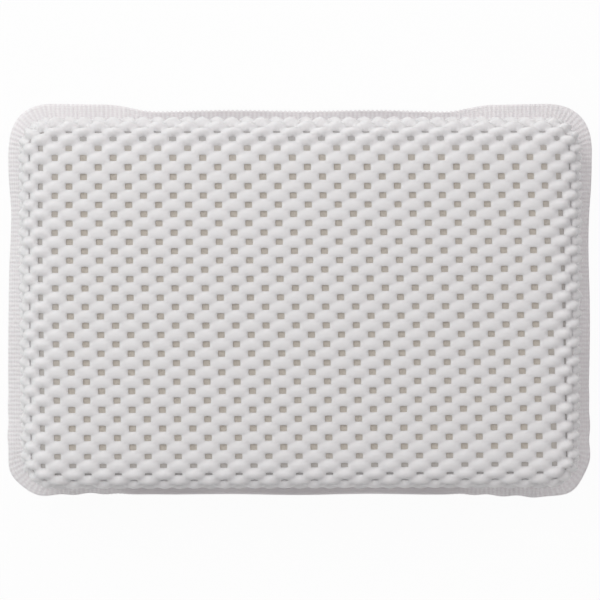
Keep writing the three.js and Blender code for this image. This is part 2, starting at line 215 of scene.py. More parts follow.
@dataclass(frozen=True)
class PillowForm:
    """The stuffed shape that every soft piece follows, in metres."""

    half_width: float
    half_height: float
    rim_z: float
    face_z: float
    rim_width: float = 10 * MM
    rim_ear: float = 1.7 * MM
    edge_radius: float = 18 * MM
    shoulder_radius: float = 11 * MM
    crown: float = 4 * MM
    top_draw: float = 3.8 * MM
    bottom_draw: float = 1.2 * MM
    side_draw: float = 0.4 * MM
    side_ends: Band = (0.58, 0.8)
    long_side_swell: float = 2.2 * MM
    short_side_swell: float = 0.6 * MM
    full_from: float = 0.5
    back_bulge: float = 8 * MM
    corner_blend: float = 4 * MM
    half_blend: float = 50 * MM

    @classmethod
    def from_frame(cls) -> "PillowForm":
        """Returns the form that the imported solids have."""
        (_, high), (low, _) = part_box("front_cover"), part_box("foam_core")
        return cls(high.x, high.y, low.z + cls.back_bulge, high.z)

    @property
    def flat(self) -> np.ndarray:
        """Half the width and half the height of the face's flat."""
        return np.array([self.half_width, self.half_height]) - self.rim_width - self.edge_radius

    @property
    def face_height(self) -> float:
        """Height of the face's edges over the rim."""
        return self.face_z - self.crown - self.rim_z

    @property
    def shoulder_arc(self) -> float:
        """Length of the sheet over the shoulder."""
        return math.pi / 2 * self.shoulder_radius

    @property
    def lead(self) -> float:
        """Length of the sheet from the face's flat to where the shoulder starts to turn."""
        return self.edge_radius - self.shoulder_radius

    @property
    def hem(self) -> float:
        """Length of the sheet from the face's flat down to the weld."""
        return self.lead + self.shoulder_arc + self.face_height - self.shoulder_radius

    def _mid_side(self, share: np.ndarray) -> np.ndarray:
        """Returns 1 along the middle of a side, falling to 0 near its corners."""
        return 1 - smooth(*self.side_ends, np.abs(share))

    def settle(self, points: np.ndarray) -> np.ndarray:
        """Draws the weld in between the corners, swells the walls over it and crowns the face.

        Args:
            points: Places before the stuffing shapes them, as rows.

        Returns:
            The places after it.
        """
        x, y, z = points.T
        lift = np.clip((z - self.rim_z) / self.face_height, 0, 1)
        full = smooth(0, self.full_from, lift)
        crown = (1 - (x / self.half_width) ** 2) * (1 - (y / self.half_height) ** 2)
        mid_x, mid_y = self._mid_side(points[:, :2] / self.flat).T
        draw_x = (1 - full) * self.side_draw * mid_y
        draw_y = (1 - full) * np.where(y > 0, self.top_draw, self.bottom_draw) * mid_x
        return np.column_stack(
            [
                x * (1 + (full * self.short_side_swell - draw_x) / self.half_width),
                y * (1 + (full * self.long_side_swell - draw_y) / self.half_height),
                z + self.crown * lift * crown,
            ]
        )

    def over(self, plan: np.ndarray) -> np.ndarray:
        """Returns how far points lie past the face's flat along X and Y, as rows, with 0 on it."""
        return np.maximum(np.abs(plan[:, :2]) - self.flat, 0)

    def beyond(self, plan: np.ndarray) -> np.ndarray:
        """Returns how far points lie past the face's flat in all, with 0 on it."""
        return np.hypot(*self.over(plan).T)

    def along(self, plan: np.ndarray) -> np.ndarray:
        """Returns how far points lie past the face's flat, below zero on it."""
        nearest = (np.abs(plan[:, :2]) - self.flat).max(axis=1)
        return np.where(nearest < 0, nearest, self.beyond(plan))

    def facing(self, plan: np.ndarray) -> np.ndarray:
        """Returns how much points belong to the ends and to the long sides, as rows of shares."""
        end = 1 / (1 + np.exp(np.diff(np.abs(plan[:, :2]) - self.flat) / self.corner_blend))
        return np.hstack([end, 1 - end])

    def cornering(self, plan: np.ndarray) -> np.ndarray:
        """Returns how much points belong to a corner, from 0 to 1."""
        return 4 * self.facing(plan).prod(axis=1)

    def left_and_low(self, plan: np.ndarray) -> np.ndarray:
        """Returns how much points belong to the left and to the lower half, as rows of shares."""
        return 1 - smooth(-self.half_blend, self.half_blend, plan[:, :2])

    def spread(self, plan: np.ndarray, reach: np.ndarray) -> np.ndarray:
        """Returns the plan, as rows, with what lies past the face's flat brought to another reach."""
        pull = (reach / np.maximum(self.beyond(plan), TINY))[:, None]
        return np.sign(plan[:, :2]) * (np.minimum(np.abs(plan[:, :2]), self.flat) + self.over(plan) * pull)

    def on_cover(self, flat: np.ndarray) -> np.ndarray:
        """Forms the cover's flat sheet over the stuffing.

        Args:
            flat: Rows of place on the sheet and height over the pad tops.

        Returns:
            Rows of places on the pillow.
        """
        sheet = np.minimum(self.beyond(flat), self.hem)
        past = np.maximum(sheet - self.lead, 0)
        radius = self.shoulder_radius + flat[:, 2]
        turn = np.minimum(past, self.shoulder_arc) / self.shoulder_radius
        reach = np.minimum(sheet, self.lead) + radius * np.sin(turn)
        middle = self.rim_z + self.face_height - self.shoulder_radius
        z = middle + radius * np.cos(turn) - np.maximum(past - self.shoulder_arc, 0)
        return self.settle(np.column_stack([self.spread(flat, reach), z]))

    def dish(self, reach: np.ndarray) -> np.ndarray:
        """Returns how far the back rises over its lowest, by the way past the face's flat."""
        return self.back_bulge * (1 - np.cos(math.pi * np.clip(reach / self.edge_radius, 0, 1))) / 2

    def around(self, share: np.ndarray) -> tuple[np.ndarray, np.ndarray]:
        """Walks round the pillow's rim from the lower right corner.

        Args:
            share: Shares of the whole way round, from 0 to 1.

        Returns:
            The places on the edge of the face's flat, as rows, and the outward angles there.
        """
        corners = np.array([(1, -1), (1, 1), (-1, 1), (-1, -1), (1, -1)]) * self.flat
        arc = math.pi / 2 * (self.edge_radius + self.rim_width / 2)
        sides = np.linalg.norm(np.diff(corners, axis=0), axis=1)
        knots = np.cumsum([0, *np.column_stack([np.full(4, arc), sides]).ravel()])
        way = share * knots[-1]
        at_corner, quarter = np.arange(9) // 2, (np.arange(9) - 1) // 2
        base = np.column_stack([np.interp(way, knots, axis[at_corner]) for axis in corners.T])
        return base, np.interp(way, knots, math.pi / 2 * quarter)


class Signal:
    """One shader value that takes part in Python arithmetic."""

    def __init__(self, graph: "Graph", socket: bpy.types.NodeSocket) -> None:
        """Wraps a socket of a graph's node."""
        self.graph = graph
        self.socket = socket

    def _math(self, operation: str, first: Any, second: Any) -> "Signal":
        """Adds one Math node and returns its result."""
        return self.graph.node("ShaderNodeMath", {"operation": operation}, {0: first, 1: second})

    def __add__(self, other: "Signal | float") -> "Signal":
        """Returns the sum."""
        return self._math("ADD", self, other)

    __radd__ = __add__

    def __sub__(self, other: "Signal | float") -> "Signal":
        """Returns the difference."""
        return self._math("SUBTRACT", self, other)

    def __rsub__(self, other: float) -> "Signal":
        """Returns a number less this value."""
        return self._math("SUBTRACT", other, self)

    def __mul__(self, other: "Signal | float") -> "Signal":
        """Returns the product."""
        return self._math("MULTIPLY", self, other)

    __rmul__ = __mul__

    def __pow__(self, other: float) -> "Signal":
        """Returns this value to a power."""
        return self._math("POWER", self, other)

    def sine(self) -> "Signal":
        """Returns the sine of this value."""
        return self._math("SINE", self, 0.0)

    def at_least(self, other: "Signal | float") -> "Signal":
        """Returns the larger of this value and another."""
        return self._math("MAXIMUM", self, other)


class Graph:
    """The nodes of a material or of the world."""

    def __init__(
        self,
        owner: bpy.types.Material | bpy.types.World,
        shader: str = "ShaderNodeBsdfPrincipled",
        output: str = "ShaderNodeOutputMaterial",
    ) -> None:
        """Starts the nodes, with a shader ready.

        Args:
            owner: The material or world that they belong to.
            shader: The shader's type.
            output: The output's type.
        """
        owner.use_nodes = True
        self.owner = owner
        self.tree = owner.node_tree
        self.tree.nodes.clear()
        self.shader = self.tree.nodes.new(shader)
        self.output = self.tree.nodes.new(output)
        self.tree.links.new(self.shader.outputs[0], self.output.inputs["Surface"])

    def node(
        self,
        kind: str,
        settings: dict[str, Any] | None = None,
        sockets: dict[int | str, Any] | None = None,
        output: int | str = 0,
    ) -> Signal:
        """Adds any node.

        Args:
            kind: The node's type.
            settings: Its properties.
            sockets: Values or signals of its inputs, by name or number.
            output: Which of its outputs is returned.

        Returns:
            The chosen output.
        """
        made = self.tree.nodes.new(kind)
        for key, value in (settings or {}).items():
            setattr(made, key, value)
        for key, value in (sockets or {}).items():
            self.feed(made.inputs[key], value)
        return Signal(self, made.outputs[output])

    def feed(self, socket: bpy.types.NodeSocket, value: Any) -> None:
        """Links a signal to a socket, or sets the socket's own value.

        Args:
            socket: The socket.
            value: The signal, number or colour.
        """
        if isinstance(value, Signal):
            self.tree.links.new(value.socket, socket)
        else:
            socket.default_value = (*value, 1.0) if socket.type == "RGBA" else value

    def place(self) -> Signal:
        """Returns the surface point in the object's own frame."""
        return self.node("ShaderNodeTexCoord", output="Object")

    def noted(self, name: str) -> Signal:
        """Returns a number that the mesh keeps for each vertex."""
        return self.node("ShaderNodeAttribute", {"attribute_name": name}, None, "Fac")

    def noise(self, scale: float, detail: float = 2.0) -> Signal:
        """Returns noise from 0 to 1, with so many lumps to the metre."""
        sockets = {"Vector": self.place(), "Scale": scale, "Detail": detail}
        return self.node("ShaderNodeTexNoise", None, sockets, "Fac")

    def cells(self, scale: float) -> Signal:
        """Returns the distance to the nearest of so many scattered points to the metre."""
        return self.node("ShaderNodeTexVoronoi", None, {"Vector": self.place(), "Scale": scale}, "Distance")

    def blend(self, share: Signal, low: Any, high: Any) -> Signal:
        """Returns a colour between two, by a share from 0 to 1."""
        sockets = {"Factor": share, 6: low, 7: high}
        return self.node("ShaderNodeMix", {"data_type": "RGBA"}, sockets, 2)

    def mottled(self, share: Signal, colour: Colour, least: float) -> Signal:
        """Returns a colour, dimmed to the least of it where the share is 0."""
        return self.blend(share, tuple(least * part for part in colour), colour)

    def bump(self, height: Signal, depth: float) -> Signal:
        """Returns a normal raised by a height, where 1 is so many metres."""
        return self.node("ShaderNodeBump", None, {"Height": height, "Distance": depth, "Strength": 1.0})

    def shade(self, **sockets: Any) -> None:
        """Sets the shader's sockets, named with underscores for spaces."""
        for key, value in sockets.items():
            self.feed(self.shader.inputs[key.replace("_", " ")], value)


@dataclass(frozen=True)
class Finish:
    """What every finish has: a material that is made once, and its nodes."""

    name: str

    @cached_property
    def graph(self) -> Graph:
        """The nodes of a new material."""
        return Graph(bpy.data.materials.new(self.name))

    @cached_property
    def material(self) -> bpy.types.Material:
        """The material, with its nodes shaded."""
        self.dress()
        return self.graph.owner

    def dress(self) -> None:
        """Shades the nodes."""
        raise NotImplementedError


@dataclass(frozen=True)
class MeshFinish(Finish):
    """Soft foamed PVC on the cover's mesh: satin white, with fine pores, and painted shade that greys it
    along the seams between lozenges.
    """

    name: str = "mesh_pvc"
    pad: Colour = (0.85, 0.84, 0.844)
    painted_seam_shade: Colour = (0.75, 0.738, 0.742)
    roughness: float = 0.38
    relief: float = 0.14 * MM
    scatter: Colour = (1.0, 0.9, 0.85)

    def dress(self) -> None:
        """Shades the nodes."""
        graph = self.graph
        pores = graph.noise(1900.0, 3.0)
        whites = graph.mottled(graph.noise(90.0), self.pad, 0.97)
        graph.shade(
            # Painted shade: the colour darkens towards the seams between lozenges, where shade falls; the
            # mottle is the PVC's own tone.
            Base_Color=graph.blend(graph.noted("seam"), whites, self.painted_seam_shade),
            Roughness=self.roughness + (pores - 0.5) * 0.2,
            Normal=graph.bump(pores * 0.7 + graph.noise(420.0) * 0.9, self.relief),
            Subsurface_Weight=0.12,
            Subsurface_Radius=self.scatter,
            Subsurface_Scale=1.2 * MM,
        )


@dataclass(frozen=True)
class RimFinish(Finish):
    """The welded rim: the same PVC pressed thin, a little glassy and milky, with painted shade that darkens
    it between the ribs, along the weld and where it is pressed flat.
    """

    name: str = "rim_pvc"
    white: Colour = (0.90, 0.887, 0.89)
    painted_rib_shade: Colour = (0.79, 0.752, 0.768)
    roughness: float = 0.36
    lines: float = 8.0
    relief: float = 0.1 * MM
    scatter: Colour = (1.0, 0.92, 0.88)

    def dress(self) -> None:
        """Shades the nodes."""
        graph = self.graph
        mottle = graph.noise(140.0)
        waffle = 0.5 + 0.5 * (graph.noted("across") * (2 * math.pi * self.lines)).sine()
        # Painted shade: the rib valleys, the unribbed band along the weld and the pressed stretches take the
        # darker colour, where shade falls; the waffle lines and mottle are the rim's own pattern and tone.
        share = graph.noted("ridge") * 0.65 + waffle * 0.2 + mottle * 0.15
        graph.shade(
            Base_Color=graph.blend(share, self.painted_rib_shade, self.white),
            Roughness=self.roughness + (mottle - 0.5) * 0.15,
            Normal=graph.bump(waffle * 0.8 + graph.noise(900.0, 3.0), self.relief),
            Subsurface_Weight=0.1,
            Subsurface_Radius=self.scatter,
            Subsurface_Scale=1.5 * MM,
        )


@dataclass(frozen=True)
class FilmFinish(Finish):
    """Embossed white PVC film of the back panel and its patches."""

    name: str = "film_pvc"
    white: Colour = (0.84, 0.835, 0.83)
    roughness: float = 0.4
    relief: float = 0.12 * MM

    def dress(self) -> None:
        """Shades the nodes."""
        graph = self.graph
        mottle = graph.noise(45.0, 4.0)
        graph.shade(
            Base_Color=graph.mottled(mottle, self.white, 0.94),
            Roughness=self.roughness + (mottle - 0.5) * 0.2,
            Normal=graph.bump(graph.cells(1100.0) + graph.noise(300.0) * 0.6, self.relief),
        )


@dataclass(frozen=True)
class FoamFinish(Finish):
    """Open-cell cream foam, with painted shade that turns it greyer on its sides, past the face's flat."""

    name: str = "cream_foam"
    cream: Colour = (0.56, 0.515, 0.455)
    shade: Colour = (0.48, 0.44, 0.385)
    side: Colour = (0.47, 0.457, 0.449)
    roughness: float = 0.95
    relief: float = 0.3 * MM

    def dress(self) -> None:
        """Shades the nodes."""
        graph = self.graph
        cells = graph.cells(750.0)
        inside = graph.blend((cells * 1.5) ** 0.7, self.shade, self.cream)
        graph.shade(
            # Painted shade: the foam turns greyer past the face's flat, where the shoulders shade its sides.
            Base_Color=graph.blend(graph.noted("side_shade"), inside, self.side),
            Roughness=self.roughness,
            Normal=graph.bump(cells, self.relief),
        )


@dataclass(frozen=True)
class ClearFinish(Finish):
    """Clear soft PVC of the suction cups, glossy and faintly blue, with a little haze."""

    name: str = "clear_pvc"
    tint: Colour = (0.86, 0.93, 0.95)
    relief: float = 0.05 * MM

    def dress(self) -> None:
        """Shades the nodes."""
        graph = self.graph
        haze = graph.noise(160.0, 3.0)
        graph.shade(
            Base_Color=graph.mottled(haze, self.tint, 0.96),
            Roughness=0.08 + haze * 0.14,
            Normal=graph.bump(graph.noise(220.0), self.relief),
            IOR=1.52,
            Transmission_Weight=0.85,
        )


@dataclass(frozen=True)
class WasherFinish(Finish):
    """Moulded white plastic of the retaining washers."""

    name: str = "washer_plastic"
    white: Colour = (0.86, 0.86, 0.84)
    relief: float = 0.03 * MM

    def dress(self) -> None:
        """Shades the nodes."""
        graph = self.graph
        flow = graph.noise(260.0, 3.0)
        graph.shade(
            Base_Color=graph.mottled(flow, self.white, 0.95),
            Roughness=0.3 + flow * 0.15,
            Normal=graph.bump(graph.noise(700.0), self.relief),
        )


@dataclass
class MeshCover:
    """The front cover's lozenge mesh, cut flat as a lattice and formed over the foam."""

    form: PillowForm
    finish: Finish
    cell_width: float = 16.37 * MM
    row_pitch: float = 5.005 * MM
    row_bow: float = 0.128
    top_stretch: float = 1.2 * MM
    top_rows: Band = (0.06, 0.1)
    end_squeeze: float = 0.9 * MM
    end_columns: Band = (0.118, 0.142)
    end_rows: Band = (0.03, 0.08)
    lean: float = 0.0234
    row_lean: float = 0.0018
    fan: float = 0.12
    shift_x: float = 1.0 * MM
    shift_y: float = 6.6 * MM
    faces_per_cell: int = 4
    hole_half: float = 0.25
    hole_slack: float = 0.01
    hole_share: Band = (0.48, 0.665)
    hole_lip: Band = (0.06, 0.09)
    hole_round: float = 0.93
    hole_close: float = 0.62
    corner_close: float = 0.2
    lip_drop: float = 0.3 * MM
    wall_depth: float = 1.2 * MM
    pad_rise: float = 0.4 * MM
    seam_width: float = 0.9 * MM
    seam_depth: float = 0.2 * MM
    shoulder_seam: float = 0.9 * MM
    row_flatness: float = 1.2
    puff_reach: float = 8 * MM
    shoulder_rise: float = 1.5 * MM
    left_calm: float = 0.3
    chin_calm: float = 0.6
    weld_reach: float = 5 * MM
    weld_sink: float = 0.6 * MM
    name: str = "lozenge_cover"

    def build(self) -> None:
        """Makes the cover."""
        half_width, half_height = self.form.flat + self.form.hem
        columns = 4 * math.ceil(half_width / self.cell_width)
        rows = 2 * math.ceil((half_height + self.shift_y) / self.row_pitch)
        fine = self.faces_per_cell
        Bench.clear()
        bpy.ops.mesh.primitive_grid_add(x_subdivisions=columns * fine, y_subdivisions=rows * fine, size=1)
        bench = Bench(self.name)
        bench.edit_all()
        bpy.ops.transform.resize(value=(columns, rows, 1))
        self._trim(bench)
        self._open_holes(bench)
        pattern = self._shaped(bench.points())
        # The seam mask also drives the material's painted seam shade.
        bench.note("seam", self._seam(pattern))
        bench.form(self.form.on_cover(self._puffed(pattern)))
        piece = bench.finish(PILLOW_BODY, ["front_cover"], "mesh_pvc", self.finish)

    def _sheet(self, pattern: np.ndarray) -> np.ndarray:
        """Lays the pattern out on the flat sheet.

        Args:
            pattern: Points in cells and rows, as rows.

        Returns:
            Their places on the sheet in metres, as rows.
        """
        across = pattern[:, 0] * self.cell_width / 2 + self.shift_x
        v = pattern[:, 1] * self.row_pitch + self.shift_y + self.row_lean * across
        v += self.top_stretch * smooth(*self.top_rows, v) - self.row_bow * v**2
        u = across * (1 - self.fan * v) - self.lean * v
        in_corner = smooth(*self.end_columns, np.abs(u)) * smooth(*self.end_rows, v)
        u -= self.end_squeeze * np.sign(u) * in_corner
        return np.column_stack([u, v, np.zeros(len(pattern))])

    def _at_hole(self, pattern: np.ndarray) -> tuple[np.ndarray, np.ndarray]:
        """Finds the points in or on the edge of a hole, which every second cell has in its middle.

        Args:
            pattern: Points in cells and rows.

        Returns:
            How far each is from its cell's middle, as rows, and whether it is at a hole.
        """
        cell = np.floor(pattern[:, :2])
        off = pattern[:, :2] - cell - 0.5
        within = (np.abs(off) < self.hole_half + self.hole_slack).all(axis=1)
        return off, within & (cell.sum(axis=1) % 2 == 1)

    def _trim(self, bench: Bench) -> None:
        """Cuts away what lies past the weld."""
        along = self.form.along(self._sheet(bench.face_centres()))
        bench.cut(along > self.form.hem + self.weld_sink)

    def _open_holes(self, bench: Bench) -> None:
        """Opens the middle of every second cell and extrudes a lip and a wall down from its edge.

        Args:
            bench: The cover being made.
        """
        bench.cut(self._at_hole(bench.face_centres())[1])
        on_edge = self._at_hole(bench.points())[1]
        bench.pick(PickMode.EDGES, bench.edges_between(on_edge))
        for _ in ("lip", "wall"):
            bpy.ops.mesh.extrude_edges_move(TRANSFORM_OT_translate={"value": (0, 0, -1)})

    def _shaped(self, pattern: np.ndarray) -> np.ndarray:
        """Brings the holes to their size, rounds their corners and narrows their lips.

        Args:
            pattern: Points in cells and rows, 1 lower on a lip and 2 lower on a wall.

        Returns:
            The points with the holes shaped.
        """
        off, on_edge = self._at_hole(pattern)
        at_corner = (np.abs(off) > self.hole_half - self.hole_slack).all(axis=1)
        is_top = np.round(pattern[:, 2]) == 0
        size = np.array(self.hole_share) + is_top[:, None] * np.array(self.hole_lip)
        size *= np.where(at_corner, self.hole_round, 1)[:, None]
        sheet = self._sheet(pattern)
        shut = self.hole_close * self.form.facing(sheet)
        shut += self.corner_close * self.form.cornering(sheet)[:, None]
        size *= 1 - self._bent(sheet)[:, None] * shut
        shaped = pattern.copy()
        shaped[on_edge, :2] += off[on_edge] * (2 * size[on_edge] - 1)
        return shaped

    def _bent(self, sheet: np.ndarray) -> np.ndarray:
        """Returns how far over the shoulder points of the sheet lie, from 0 on the face to 1 on the wall."""
        return smooth(-self.puff_reach, self.form.shoulder_arc, self.form.along(sheet))

    def _seam(self, pattern: np.ndarray) -> np.ndarray:
        """Finds the seams where lozenges meet, from hole corner to hole corner.

        Args:
            pattern: Points in cells and rows.

        Returns:
            1 on a seam, falling to 0 beside it.
        """
        cell = np.array([self.cell_width / 2, self.row_pitch])
        meeting = np.round(pattern[:, :2])
        leans_left = np.where(meeting.sum(axis=1) % 2 == 0, -1.0, 1.0)
        way = (1 - np.array(self.hole_share)) * cell
        x, y = ((pattern[:, :2] - meeting) * cell).T
        away = (x * way[1] - leans_left * y * way[0]) / np.hypot(*way)
        return np.exp(-((away / self.seam_width) ** 2))

    def _puffed(self, pattern: np.ndarray) -> np.ndarray:
        """Swells each lozenge between its holes, most over the shoulders and least at the weld.

        Args:
            pattern: Points in cells and rows, with the holes shaped.

        Returns:
            Their places on the sheet and heights over the pad tops, as rows.
        """
        form = self.form
        sheet = self._sheet(pattern)
        calm = [self.left_calm, self.chin_calm] * form.facing(sheet) * form.left_and_low(sheet)
        bent = self._bent(sheet) * (1 - calm.sum(axis=1))
        rise = self.pad_rise + self.shoulder_rise * bent
        row = np.tanh(self.row_flatness * np.sin(math.pi * pattern[:, 1])) / math.tanh(self.row_flatness)
        height = rise * (np.sin(math.pi * pattern[:, 0]) * row - 1)
        height -= self._seam(pattern) * (self.seam_depth + self.shoulder_seam * bent)
        welded = smooth(form.hem - self.weld_reach, form.hem - self.weld_sink, form.along(sheet))
        height -= welded * (height + self.weld_sink)
        level = np.round(-pattern[:, 2])
        sheet[:, 2] = height - self.lip_drop * (level > 0) - self.wall_depth * (level > 1)
        return sheet


@dataclass(frozen=True)
class Fold:
    """A stretch of the rim, in millimetres: drawn in, curled up and pressed, or the reverse below zero."""

    x: float
    y: float
    radius: float
    draw: float = 0.0
    curl: float = 0.0
    run: float = 0.0
    press: float = 0.0

    def effect(self, plan: np.ndarray) -> np.ndarray:
        """Returns its draw and curl in metres and its press from 0 to 1 at points of a plan, as rows."""
        away = np.hypot(np.maximum(np.abs(plan[:, 0] / MM - self.x) - self.run, 0), plan[:, 1] / MM - self.y)
        return np.outer(np.exp(-((away / self.radius) ** 2)), [self.draw * MM, self.curl * MM, self.press])


@dataclass
class WeldedRim:
    """The rim, where the cover and the film are welded: pressed flat, ribbed across, a little wavy."""

    form: PillowForm
    finish: Finish
    ribs: int = 418
    steps_per_rib: int = 6
    thickness: float = 1.0 * MM
    rib_height: float = 0.2 * MM
    rib_start: Band = (0.06, 0.2)
    wave_height: float = 0.9 * MM
    waves: int = 13
    ripple: float = 0.45 * MM
    ripples: int = 59
    ripple_rows: Band = (-0.9, -0.3)
    tuck: float = 1.2 * MM
    tuck_band: Band = (0.06, 0.16)
    tuck_share: float = 0.5
    teeth: float = 0.27
    teeth_band: Band = (0.7, 1.0)
    edge_band: Band = (0.9, 1.0)
    edge_thin: Band = (0.3, 0.2)
    name: str = "welded_rim"
    upper_bands: tuple[float, ...] = (0.08, 0.16, 0.24, 0.5, 0.76, 0.86, 0.92, 0.97, 1.0)
    under_bands: tuple[float, ...] = (0.92, 0.5, 0.16, 0.08)
    folds: tuple[Fold, ...] = (
        Fold(-165, 50, 26, draw=1.8, curl=-1.6),
        Fold(-165, -20, 50, curl=-1.8),
        Fold(-165, -50, 35, draw=-0.7),
        Fold(165, 38, 30, draw=1.0, curl=-2.0),
        Fold(165, -45, 45, curl=-2.0),
        Fold(-115, -111, 45, draw=1.0),
        Fold(-5, -111, 16, curl=3.6, run=84, press=1.0),
        Fold(125, -111, 30, curl=-0.8),
        Fold(-110, 111, 32, draw=0.9),
        Fold(110, 111, 32, draw=0.9),
        Fold(0, 111, 16, draw=0.8, curl=3.2, run=78),
        Fold(-162, 92, 14, draw=0.9),
        Fold(-155, -101, 20, draw=-1.5),
        Fold(132, -111, 26, draw=-1.4),
        Fold(152, -107, 14, draw=-1.0),
    )

    def build(self) -> None:
        """Makes the rim from a flat ring, extruded outwards band by band and back underneath."""
        Bench.clear()
        bpy.ops.mesh.primitive_circle_add(vertices=self.ribs * self.steps_per_rib, radius=1.0)
        bench = Bench(self.name)
        bench.edit_all()
        self._widen(0.0, self.upper_bands)
        bpy.ops.mesh.extrude_edges_move(TRANSFORM_OT_translate={"value": (0, 0, -1)})
        self._widen(self.upper_bands[-1], self.under_bands)
        ring = bench.points()
        bench.form(self._formed(ring))
        # The rib mask also drives the rim's painted shade in its valleys, along the weld and where pressed.
        bench.note("ridge", self._ridge(ring, bench.points()))
        bench.note("across", self._out(ring))
        bench.edit_all()
        bpy.ops.mesh.normals_make_consistent(inside=False)
        bench.finish(PILLOW_BODY, ["front_cover", "back_panel"], "mesh_pvc", self.finish)

    @staticmethod
    def _widen(band: float, bands: Sequence[float]) -> None:
        """Extrudes the ring's free edge from band to band.

        Args:
            band: The band that it is at.
            bands: The bands that follow.
        """
        for next_band in bands:
            bpy.ops.mesh.extrude_edges_move()
            ratio = (1 + next_band) / (1 + band)
            bpy.ops.transform.resize(value=(ratio, ratio, 1))
            band = next_band

    @staticmethod
    def _out(ring: np.ndarray) -> np.ndarray:
        """Returns how far out over the rim points of the flat ring are, from 0 to 1."""
        return np.hypot(ring[:, 0], ring[:, 1]) - 1

    def _share(self, ring: np.ndarray) -> np.ndarray:
        """Returns how far round points of the flat ring are, as shares, on the nearest rib step."""
        count = self.ribs * self.steps_per_rib
        return np.round(np.arctan2(ring[:, 1], ring[:, 0]) / (2 * math.pi) * count) % count / count

    def _ridge(self, ring: np.ndarray, plan: np.ndarray) -> np.ndarray:
        """Returns how far up a rib points of the flat ring are, by their plan: 0 inside and where pressed."""
        rib = 0.5 - 0.5 * np.cos(2 * math.pi * self.ribs * self._share(ring))
        return rib * smooth(*self.rib_start, self._out(ring)) * (1 - self._folded(plan)[:, 2])

    def _folded(self, plan: np.ndarray) -> np.ndarray:
        """Returns what all the folds do to points of a plan, as rows of draw, curl and press."""
        return sum(fold.effect(plan) for fold in self.folds)

    def _formed(self, ring: np.ndarray) -> np.ndarray:
        """Forms the flat ring round the pillow.

        Args:
            ring: The flat ring's points, as rows.

        Returns:
            Their places on the pillow, as rows.
        """
        form = self.form
        share = self._share(ring)
        out = self._out(ring)
        base, angle = form.around(share)
        outward = np.column_stack([np.cos(angle), np.sin(angle)])
        width = form.rim_width + self.tuck + form.rim_ear * np.sin(2 * angle) ** 2
        plan = base + (form.edge_radius - self.tuck + out * width)[:, None] * outward
        ridge = self._ridge(ring, plan)
        draw, curl, pressed = self._folded(plan).T
        lower = 1 - smooth(*self.ripple_rows, plan[:, 1] / form.half_height)
        valley = 0.5 + 0.5 * np.cos(2 * math.pi * self.ribs * share)
        ripple = self.ripple * lower * np.sin(2 * math.pi * self.ripples * share)
        teeth = self.teeth * np.maximum(curl, 0) * valley * smooth(*self.teeth_band, out)
        draw = draw + (ripple + teeth) * (1 - pressed)
        plan -= (draw * out)[:, None] * outward
        wave = (self.wave_height * np.sin(2 * math.pi * self.waves * share) + curl) * out**2
        upper_thin, under_thin = (part * smooth(*self.edge_band, out) for part in self.edge_thin)
        tucked = self.tuck_share * (1 - smooth(*self.tuck_band, out))
        upper = self.thickness * (1 - upper_thin) + self.rib_height * ridge
        under = self.thickness * (under_thin + tucked) - 0.5 * self.rib_height * ridge
        z = form.rim_z + wave + np.where(ring[:, 2] < -0.5, under, upper)
        return form.settle(np.column_stack([plan, z]))


@dataclass
class FoamCore:
    """The cream foam block under the mesh, hollowed for the cup heads."""

    form: PillowForm
    finish: Finish
    depth: float = 1.8 * MM
    side_depth: float = 4.5 * MM
    corner_depth: float = 2.0 * MM
    left_fill: float = 1.0 * MM
    chin_fill: float = 1.6 * MM
    edge_radius: float = 12 * MM
    bottom_lift: float = 0.9 * MM
    side_shade_band: Band = (-2 * MM, 9 * MM)
    cuts: int = 27
    pocket_radius: float = 11 * MM
    pocket_top: float = 22.5 * MM
    pocket_drop: float = 2 * MM
    name: str = "foam_block"

    def build(self) -> None:
        """Makes the block from a finely divided cube with its edges rounded."""
        Bench.clear()
        bpy.ops.mesh.primitive_cube_add(size=2)
        bench = Bench(self.name)
        bench.edit_all()
        bpy.ops.mesh.subdivide(number_cuts=self.cuts)
        bench.form(self._formed(bench.points()))
        for place in CUP_PLACES:
            washer = f"cup_washer_{place}"
            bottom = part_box(washer)[0].z - self.pocket_drop
            bench.drill(middle_of(washer), self.pocket_radius, bottom, self.pocket_top)
        # This mask sets the foam's painted shade on its sides.
        bench.note("side_shade", smooth(*self.side_shade_band, self.form.along(bench.points())))
        piece = bench.finish(PILLOW_BODY, ["foam_core"], "foam", self.finish)

    def _formed(self, cube: np.ndarray) -> np.ndarray:
        """Rounds the cube's edges and fits it under the cover and over the film.

        Args:
            cube: The cube's points, as rows.

        Returns:
            Their places in the pillow, as rows.
        """
        form = self.form
        reach = form.edge_radius - self.side_depth
        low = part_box("foam_core")[0].z + self.bottom_lift
        high = form.rim_z + form.face_height - self.depth
        half = np.array([*(form.flat + reach), (high - low) / 2])
        block = cube * half
        core = np.clip(block, self.edge_radius - half, half - self.edge_radius)
        past = block - core
        length = np.linalg.norm(past, axis=1, keepdims=True)
        rounded = core + past / np.maximum(length, TINY) * self.edge_radius
        most = reach - self.corner_depth * form.cornering(rounded)
        rounded[:, :2] = form.spread(rounded, np.minimum(form.beyond(rounded), most))
        rounded[:, :2] -= [self.left_fill, self.chin_fill] * form.left_and_low(rounded)
        bottom = low + form.dish(form.beyond(rounded))
        rounded[:, 2] = np.maximum(rounded[:, 2] + (high + low) / 2, bottom)
        return form.settle(rounded)


